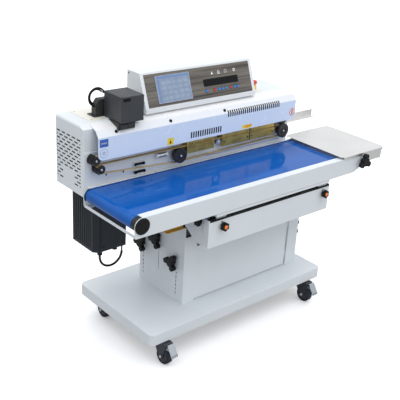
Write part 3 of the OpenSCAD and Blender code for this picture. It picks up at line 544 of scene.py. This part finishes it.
BEVELS = {
    "base_tray": 3.2, "column_shell": 1.2, "lift_frame": 1.0, "head_housing": 0.6,
    "front_guard": 0.7, "console_housing": 2.6, "console_fascia": 0.4, "head_top_plate": 0.5,
    "coder_body": 1.6, "coder_mount": 1.0, "power_box": 1.6, "bracket_beam": 1.6,
    "conveyor_frame": 0.9, "conveyor_belt": 0.7, "extension_table": 1.2, "infeed_guide": 0.5,
    "sealing_blocks": 0.6, "seal_base_plate": 0.5, "stop_button": 0.6, "stop_base": 0.8,
    "upper_band": 0.2, "lower_band": 0.2, "roller_caps": 0.7,
}
BEVEL_BY_PREFIX = {"caster_fork": 0.8, "caster_wheel": 1.0, "brake_pedal": 0.6, "lock_knob": 1.6,
                   "star_knob": 1.4, "table_knob": 1.8, "key": 0.7}


def bevel_of(name):
    if name in BEVELS:
        return BEVELS[name]
    for prefix, w in BEVEL_BY_PREFIX.items():
        if name.startswith(prefix):
            return w
    return 0.5


def dress_nodes():
    for name, obj in nodes.items():
        obj.data.materials.clear()
        obj.data.materials.append(MAT[NODE_MATERIAL[name]])
        finish_mesh(obj, bevel_of(name) * MM, 2, weld=True)


# ---------------------------------------------------------------- details

def screw_profile(r, h):
    """Pan head with a hollow in its top."""
    return [(0, 0), (r, 0), (r, h * 0.45), (r * 0.86, h * 0.85), (r * 0.62, h),
            (r * 0.45, h), (r * 0.42, h * 0.5), (0, h * 0.5)]


def screws(name, mat, body, places, r, h):
    bm = bmesh.new()
    for p in places:
        add_lathe(bm, scaled(screw_profile(r, h)), p, 24)
    return piece(name, bm, mat, body)


def fasteners():
    slope = Vector((0, 17.5, 25)).normalized()
    places = [basis(at(x, 6.25, 937.5), (1, 0, 0), slope) for x in (-494, -235, 53)]
    screws("guard_screws", "film_black", "lift", places, 6.5, 4)
    top = (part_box("head_top_plate")[1].z - ORIGIN.z) / MM
    spots = [(-548, 92), (-548, 212), (-360, 212), (300, 212), (60, 212)]
    screws("top_plate_screws", "knurl_steel", "lift", [top_of(x, y, top) for x, y in spots], 4, 2)
    screws("console_screws", "film_black", "lift",
           [left_of(-331, y, z) for y, z in ((160, 1108), (160, 985))]
           + [right_of(262, y, z) for y, z in ((160, 1108), (160, 985))], 3.2, 2)
    back = [basis(at(x, 230, z), (-1, 0, 0), (0, 0, 1))
            for x in (-590, -300, 0, 300, 460) for z in (712, 944)]
    screws("back_panel_screws", "knurl_steel", "lift", back, 3.6, 2)
    screws("hub_screws", "knurl_steel", "lift",
           [front_of(-563, -3, 799.3), front_of(-584, 0, 836.7), front_of(414, -12, 792),
            front_of(-183, -8, 783.7), front_of(25, -2, 803.4)], 4.6, 2.4)


def knob_caps():
    """Orange inserts in the two star knobs on the front of the beam."""
    spots = {
        "star_front_left_clamp": ("star_knob_front_left", (0, -1, 0)),
        "star_front_right_clamp": ("star_knob_front_right", (0, -1, 0)),
    }
    for body, (node, out) in spots.items():
        lo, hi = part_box(node)
        out = Vector(out)
        mid = (lo + hi) / 2
        tip = mid + Vector([o * s / 2 for o, s in zip(out, hi - lo)])
        side = out.orthogonal().normalized()
        bm = bmesh.new()
        place = basis(tip, side, out.cross(side))
        add_lathe(bm, scaled([(0, -1), (8.5, -1), (8.5, 0.6), (7.4, 1.5), (4, 2.1), (0, 2.3)]),
                  place, 32)
        piece(node + "_cap", bm, "cap_orange", body)


def sticker(name, mat, place, outline, lift=0.0, thick=0.25):
    bm = bmesh.new()
    add_prism(bm, scaled(outline), thick * MM, place @ Matrix.Translation((0, 0, lift * MM)))
    return piece(name, bm, mat, "lift", bevel=0.08 * MM, segments=1)


def ring(name, mat, place, cx, cy, r_out, r_in, lift=0.0, thick=0.25, body="lift"):
    """Flat washer shape."""
    bm = bmesh.new()
    place = place @ Matrix.Translation((cx * MM, cy * MM, lift * MM))
    n = 48
    loops = []
    for r, h in ((r_in, 0), (r_out, 0), (r_out, thick), (r_in, thick)):
        loops.append([bm.verts.new(place @ Vector((r * MM * math.cos(2 * math.pi * k / n),
                                                   r * MM * math.sin(2 * math.pi * k / n), h * MM)))
                      for k in range(n)])
    for a, b in zip(loops, loops[1:] + loops[:1]):
        for k in range(n):
            q = (k + 1) % n
            bm.faces.new((a[k], a[q], b[q], b[k]))
    return piece(name, bm, mat, body)


def stickers():
    """Plain coloured patches with simple shapes, no marks or letters."""
    g = front_of(0, -2.5, 0)
    sticker("patch_blue", "film_blue", g, rounded_rect(-572, -534, 888, 918.5, 2))
    sticker("patch_blue_bar", "film_grey", g, rounded_rect(-566, -540, 900, 906, 1), 0.25)
    ring("patch_round_ring", "film_grey", g, -553, 864, 18, 16.2)
    ring("patch_round_dot", "film_grey", g, -553, 864, 7, 3.5)
    sticker("patch_yellow", "film_yellow", g, rounded_rect(-254, -222, 840, 869, 2))
    sticker("patch_yellow_mark", "film_black", g,
            [(-243, 846), (-233, 846), (-238, 862)], 0.25)
    sticker("patch_amber", "film_yellow", g, rounded_rect(157, 214, 840, 857, 2))
    sticker("patch_amber_bar", "film_orange", g, rounded_rect(176, 210, 845, 854, 1.5), 0.25)
    sticker("patch_red_base", "film_white", g, circle(467, 872, 17))
    ring("patch_red_ring", "film_red", g, 467, 872, 17, 13.5, 0.25)
    sticker("patch_red_dot", "film_red", g, rounded_rect(463, 471, 862, 882, 3.5), 0.25)


def console_details():
    face = console_face(2.3)
    sticker("screen_bezel", "screen_edge", face, rounded_rect(-264, -91, 15, 125, 3), -0.4, 0.6)
    sticker("screen_head_bar", "screen_head", face, rounded_rect(-258, -95, 111, 122, 1), 0.2)
    sticker("screen_side_bar", "screen_head", face, rounded_rect(-258, -247, 19, 110, 1), 0.2)
    sticker("screen_field", "screen_pale", face, rounded_rect(-246, -95, 19, 110, 1), 0.2)
    bm = bmesh.new()
    for row in range(4):
        for col in range(5):
            x, y = -238 + col * 28, 27 + row * 20
            add_prism(bm, scaled(rounded_rect(x, x + 22, y, y + 13, 1.5)), 0.12 * MM,
                      face @ Matrix.Translation((0, 0, 0.45 * MM)))
    piece("screen_cells", bm, "screen_cell", "lift")
    sticker("readout_bezel", "film_black", face, rounded_rect(-23, 170, 53.5, 83.5, 2), -0.4, 0.6)
    sticker("readout_glass", "dark_glass", face, rounded_rect(-18, 165, 58, 79, 1), 0.2)
    bm = bmesh.new()
    for i in range(12):
        x = -12 + i * 14.6
        for x0, x1, y0, y1 in ((2, 9, 61, 62.2), (2, 9, 68, 69.2), (2, 9, 75, 76.2),
                               (1, 2.2, 62, 75.4), (8.8, 10, 62, 75.4)):
            add_prism(bm, scaled([(x + x0, y0), (x + x1, y0), (x + x1, y1), (x + x0, y1)]),
                      0.1 * MM, face @ Matrix.Translation((0, 0, 0.45 * MM)))
    piece("readout_segments", bm, "film_black", "lift")
    icon = console_face(1.2)
    sticker("icon_triangle", "film_white", icon, [(25, 100), (38, 100), (31.5, 112)])
    ring("icon_ring", "film_white", icon, 68, 106, 6.2, 4.0)
    sticker("icon_arch_bar", "film_white", icon, rounded_rect(60, 76, 98.4, 100.6, 1))
    ring("icon_drum", "film_white", icon, 107, 106, 7, 5.6)
    sticker("icon_square", "film_white", icon, rounded_rect(150, 162, 100, 112, 2))
    sticker("icon_square_mark", "fascia_brown", icon, rounded_rect(153.6, 158.4, 103, 109, 1), 0.25)
    for i in range(1, 9):
        lo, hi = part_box(f"key_{i}")
        x = ((lo.x + hi.x) / 2 - ORIGIN.x) / MM
        ring(f"key_rim_{i}", "film_black", icon, x, 35, 7.2, 5.9, 0, 0.3)


def coder_details():
    lo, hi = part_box("coder_body")
    x0, x1 = (lo.x - ORIGIN.x) / MM, (hi.x - ORIGIN.x) / MM
    y0, z1 = (lo.y - ORIGIN.y) / MM, (hi.z - ORIGIN.z) / MM
    screws("coder_screws", "film_black", "lift",
           [top_of(x, y, z1) for x in (x0 + 9, x1 - 9) for y in (y0 + 9, y0 + 103)], 2.6, 1.4)
    bm = bmesh.new()
    add_prism(bm, scaled(rounded_rect(x0 + 9, x0 + 41, z1 - 18.5, z1 - 7.5, 1)), 0.6 * MM,
              front_of(0, y0 + 1.45, 0))
    piece("coder_window", bm, "dark_glass", "lift")
    # nozzle and clamp plate under the coder, over the guard's slope
    bm = bmesh.new()
    add_prism(bm, scaled(rounded_rect(-482, -450, 944, 962, 2)), 7 * MM, front_of(0, 0, 0))
    add_prism(bm, scaled(rounded_rect(-446, -416, 948, 964, 2)), 4 * MM, front_of(0, 0, 0))
    piece("coder_nozzle", bm, "coder_black", "lift", bevel=0.8 * MM)
    # fins and clips of the rear unit
    bm = bmesh.new()
    for i in range(4):
        add_prism(bm, scaled(rounded_rect(-508 + i * 14, -500 + i * 14, 978, 1018, 1.5)), 2.4 * MM,
                  front_of(0, 110, 0))
    piece("rear_unit_ribs", bm, "coder_black", "lift", bevel=0.5 * MM)


def arc(x, y, z, major, a0, a1, steps=36):
    """Points on an arc in an x-z plane, from angle a0 to a1 in degrees."""
    return [at(x + major * math.cos(math.radians(a0 + (a1 - a0) * i / steps)), y,
               z + major * math.sin(math.radians(a0 + (a1 - a0) * i / steps)))
            for i in range(steps + 1)]


def cable_sleeves():
    """Braided sleeves over the coder's two cables and the supply box's cable."""
    for i, (x, y, z, major, a0, a1) in enumerate(((-507, 116, 1043, 36, 32, 250),
                                                  (-503, 128, 1041, 29, 40, 240))):
        bm = bmesh.new()
        add_tube(bm, arc(x, y, z, major, a0, a1), 3.6 * MM)
        piece(f"coder_sleeve_{i + 1}", bm, "film_black", "lift")
    bm = bmesh.new()
    add_tube(bm, arc(-462, 80, 380, 54, 182, 358), 4.8 * MM)
    piece("supply_sleeve", bm, "film_black", "lift")


def supply_details():
    bm = bmesh.new()
    add_prism(bm, scaled(rounded_rect(-520, -410, 424, 676, 3)), 1.4 * MM, front_of(0, 60, 0))
    piece("supply_door", bm, "supply_dark", "lift", bevel=0.6 * MM)
    screws("supply_screws", "film_black", "lift",
           [front_of(x, 58.6, z) for x in (-512, -418) for z in (434, 560, 666)], 3.4, 1.6)
    bm = bmesh.new()
    for x, y in ((-516, 80), (-438, 88), (-486, 150)):
        place = Matrix.Translation(at(x, y, 0))
        for z in (392, 404):
            add_prism(bm, scaled(circle(0, 0, 11.5, 6)), 6 * MM,
                      place @ Matrix.Translation((0, 0, z * MM)))
    piece("gland_nuts", bm, "film_black", "lift", bevel=0.6 * MM)


def conveyor_details():
    # yellow-passivated angle left of the bracket, hung from the front rail's lower flange
    bm = bmesh.new()
    leg = [(-262, 604), (-238, 604), (-238, 647), (-290, 647), (-290, 644.5), (-240.5, 644.5),
           (-240.5, 606.5), (-262, 606.5)]
    add_prism(bm, scaled([(-y, z) for y, z in leg]), 92 * MM,
              basis(at(-352, 0, 0), (0, -1, 0), (0, 0, 1)))
    piece("conveyor_angle", bm, "zinc_gold", "conveyor", bevel=0.5 * MM)
    # thin black line on the inside of the rear rail, round its end
    bm = bmesh.new()
    add_tube(bm, arc(-591, 25.3, 692, 30.2, 70, 215), 1.6 * MM)
    piece("rail_end_black_line", bm, "film_black", "conveyor")
    # white strip on the rear rail's upper edge, a painted highlight for the light that its top
    # catches
    bm = bmesh.new()
    add_prism(bm, scaled([(-604, 21), (-604, 30.4), (640, 30.4), (640, 21)][::-1]), 3 * MM,
              top_of(0, 0, 722.6))
    piece("rail_highlight_strip", bm, "film_white", "conveyor", bevel=0.8 * MM)
    # black strip on the beam, a painted shadow line under the gap, and the skirt that closes the gap
    # up to the conveyor
    bm = bmesh.new()
    shadow_strip_outline = [(-258, 612), (443, 612), (443, 620.5), (-258, 620.5)]
    add_prism(bm, scaled(shadow_strip_outline), 2.4 * MM, front_of(0, -289, 0))
    piece("beam_shadow_strip", bm, "film_black", "bracket", bevel=0.5 * MM)
    bm = bmesh.new()
    skirt = [(-250, 606), (435, 606), (435, 638), (431, 640), (-246, 640), (-250, 638)]
    add_prism(bm, scaled(skirt), 3 * MM, front_of(0, -275.5, 0))
    piece("beam_skirt", bm, "film_black", "bracket", bevel=0.6 * MM)


def painted_shade_sheets():
    """Painted shade: black sheets behind the head's vents and the guard's louvres, so the openings
    read dark.
    """
    bm = bmesh.new()
    add_prism(bm, scaled(rounded_rect(-224, -44, 706, 926, 4)), 0.5 * MM, left_of(-616.2, 0, 0))
    piece("vent_shade_sheet", bm, "shade_black", "lift")
    bm = bmesh.new()
    low = [(-0.4, 844), (0.0, 844), (0.0, 880), (-0.4, 880)]
    add_prism(bm, scaled(low), 176 * MM, basis(at(-136, 0, 0), (0, 1, 0), (0, 0, 1)))
    high = [(-0.4, 905), (0.0, 905), (0.0, 924), (9.7, 937.9), (9.3, 938.2), (-0.4, 924.2)]
    add_prism(bm, scaled(high), 318 * MM, basis(at(64, 0, 0), (0, 1, 0), (0, 0, 1)))
    piece("louvre_shade_sheet", bm, "shade_black", "lift")


def mechanism_details():
    """Painted shadow strip under the guard, strap bracket caps, plunger sleeve and screws on the
    plate.
    """
    # painted shade: a black strip on the plate stands for the shadow under the guard's lower edge
    bm = bmesh.new()
    add_prism(bm, scaled([(-572, 822), (-148, 822), (-148, 850), (-572, 850)]), 5 * MM,
              front_of(0, 34, 0))
    piece("guard_shadow_strip", bm, "film_black", "lift", bevel=0.8 * MM)
    bm = bmesh.new()
    for x, z in ((-392, 780), (-353, 779), (-389, 746), (-349, 746)):
        add_lathe(bm, scaled([(0, 0), (6.6, 0), (6.6, 3), (5.6, 4), (0, 4)]), front_of(x, 19, z), 24)
    for x, z, a0, a1 in ((-584, 836.7, 100, 215), (-563, 799.3, 150, 250)):
        angles = [math.radians(a) for a in range(a0, a1 + 1, 5)]
        shroud = [(x + 20 * math.cos(a), z + 20 * math.sin(a)) for a in angles]
        shroud += [(x + 22.5 * math.cos(a), z + 22.5 * math.sin(a)) for a in reversed(angles)]
        add_prism(bm, scaled(shroud), 35 * MM, front_of(0, 34, 0))
    for z0, z1 in ((741, 751), (774, 784)):
        add_prism(bm, scaled(rounded_rect(-397, -345, z0, z1, 3)), 3 * MM, front_of(0, 22, 0))
    piece("band_fittings", bm, "film_black", "lift", bevel=0.5 * MM)
    bm = bmesh.new()
    add_lathe(bm, scaled([(0, 0), (9, 0), (10.8, 1.5), (10.8, 10), (10.2, 11), (10.2, 15),
                          (10.8, 16), (10.8, 42), (9, 45), (0, 45)]),
              basis(at(-285, 22.5, 794), (0, 1, 0), (0, 0, 1)), 32)
    piece("plunger_sleeve", bm, "knurl_steel", "lift")
    screws("block_screws", "film_black", "lift",
           [front_of(x, -1, 799) for x in (56, 195, 221, 350)], 3.4, 2)
    screws("plate_screws", "film_black", "lift",
           [front_of(x, 32, z) for x, z in ((-520, 760), (-440, 756), (-300, 752), (-220, 838),
                                            (-60, 744), (456, 790))], 3.6, 2)


def caster_details():
    for k in ("fl", "fr", "rl", "rr"):
        lo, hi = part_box("caster_wheel_" + k)
        cx, cy, cz = ((lo + hi) / 2 - ORIGIN) / MM
        places = [left_of(cx - 22, cy, cz), right_of(cx + 22, cy, cz)]
        screws("axle_nuts_" + k, "knurl_steel", "caster_" + k, places, 7, 4)
        bm = bmesh.new()
        for place in (left_of(cx - 11.5, cy, cz), right_of(cx + 11.5, cy, cz)):
            add_lathe(bm, scaled([(13, 0), (26, 0), (26, 1.4), (24, 2.2), (15, 2.2), (13, 1.4),
                                  (13, 0)]), place, 40)
        piece("hub_disc_" + k, bm, "fork_dark", "caster_roll_" + k)


def build_details():
    fasteners()
    knob_caps()
    stickers()
    console_details()
    coder_details()
    cable_sleeves()
    supply_details()
    conveyor_details()
    painted_shade_sheets()
    mechanism_details()
    caster_details()


# ---------------------------------------------------------------- stage, light, camera

def stage():
    bm = bmesh.new()
    bmesh.ops.create_grid(bm, x_segments=8, y_segments=8, size=40)
    mesh = bpy.data.meshes.new("studio_floor")
    bm.to_mesh(mesh)
    bm.free()
    floor = bpy.data.objects.new("studio_floor", mesh)
    bpy.context.scene.collection.objects.link(floor)
    mesh.materials.append(floor_material())


SKY_LOW = 0.25
SKY_HIGH = 1.28


def lights():
    """White backdrop for the camera; for everything else a sky that brightens to the zenith."""
    world = bpy.data.worlds.new("studio")
    bpy.context.scene.world = world
    world.use_nodes = True
    t = world.node_tree
    t.nodes.clear()
    out = t.nodes.new("ShaderNodeOutputWorld")
    seen = t.nodes.new("ShaderNodeBackground")
    seen.inputs["Color"].default_value = (1, 1, 1, 1)
    seen.inputs["Strength"].default_value = 1.0
    tc = t.nodes.new("ShaderNodeTexCoord")
    xyz = t.nodes.new("ShaderNodeSeparateXYZ")
    link(t, tc.outputs["Generated"], xyz.inputs[0])
    rise = math_node(t, "SQRT", math_node(t, "MAXIMUM", xyz.outputs["Z"], 0.0), 0.0)
    level = math_node(t, "ADD", math_node(t, "MULTIPLY", rise, SKY_HIGH - SKY_LOW), SKY_LOW)
    fill = t.nodes.new("ShaderNodeBackground")
    fill.inputs["Color"].default_value = (0.95, 0.975, 1.0, 1)
    link(t, level, fill.inputs["Strength"])
    path = t.nodes.new("ShaderNodeLightPath")
    pick = t.nodes.new("ShaderNodeMixShader")
    link(t, path.outputs["Is Camera Ray"], pick.inputs[0])
    link(t, fill.outputs[0], pick.inputs[1])
    link(t, seen.outputs[0], pick.inputs[2])
    link(t, pick.outputs[0], out.inputs["Surface"])

    sun = bpy.data.lights.new("overhead", "SUN")
    sun.energy = 1.0
    sun.angle = math.radians(70)
    top = bpy.data.objects.new("overhead", sun)
    top.rotation_euler = (math.radians(10), math.radians(-4), 0)
    bpy.context.scene.collection.objects.link(top)

    lamp = bpy.data.lights.new("soft_front", "AREA")
    lamp.energy = 11
    lamp.size = 1.8
    front = bpy.data.objects.new("soft_front", lamp)
    front.location = (0.4, -3.6, 1.5)
    aim = Vector((0, 0, 0.7)) - front.location
    front.rotation_euler = aim.to_track_quat("-Z", "Y").to_euler()
    bpy.context.scene.collection.objects.link(front)


CAMERA_FROM_TRAY = Vector((-2.038, -2.228, 1.856))
CAMERA_HEADING = math.radians(45.95)
CAMERA_PITCH = math.radians(-23.61)
CAMERA_ROLL = math.radians(4.49)
CAMERA_LENS = 67.84
CAMERA_SHIFT = (-0.0735, 0.00575)


def camera():
    data = bpy.data.cameras.new("camera")
    data.sensor_width = 36
    data.lens = CAMERA_LENS
    data.shift_x, data.shift_y = CAMERA_SHIFT
    data.clip_start, data.clip_end = 0.05, 200
    cam = bpy.data.objects.new("camera", data)
    flat = math.cos(CAMERA_PITCH)
    ahead = Vector((flat * math.cos(CAMERA_HEADING), flat * math.sin(CAMERA_HEADING),
                    math.sin(CAMERA_PITCH)))
    level = Vector((math.sin(CAMERA_HEADING), -math.cos(CAMERA_HEADING), 0))
    right = level * math.cos(CAMERA_ROLL) + level.cross(ahead) * math.sin(CAMERA_ROLL)
    m = Matrix((right, right.cross(ahead), -ahead)).transposed().to_4x4()
    m.translation = ORIGIN + CAMERA_FROM_TRAY
    cam.matrix_world = m
    bpy.context.scene.collection.objects.link(cam)
    bpy.context.scene.camera = cam


dress_nodes()
build_details()
stage()
lights()
camera()
bpy.context.scene.view_settings.view_transform = "Standard"
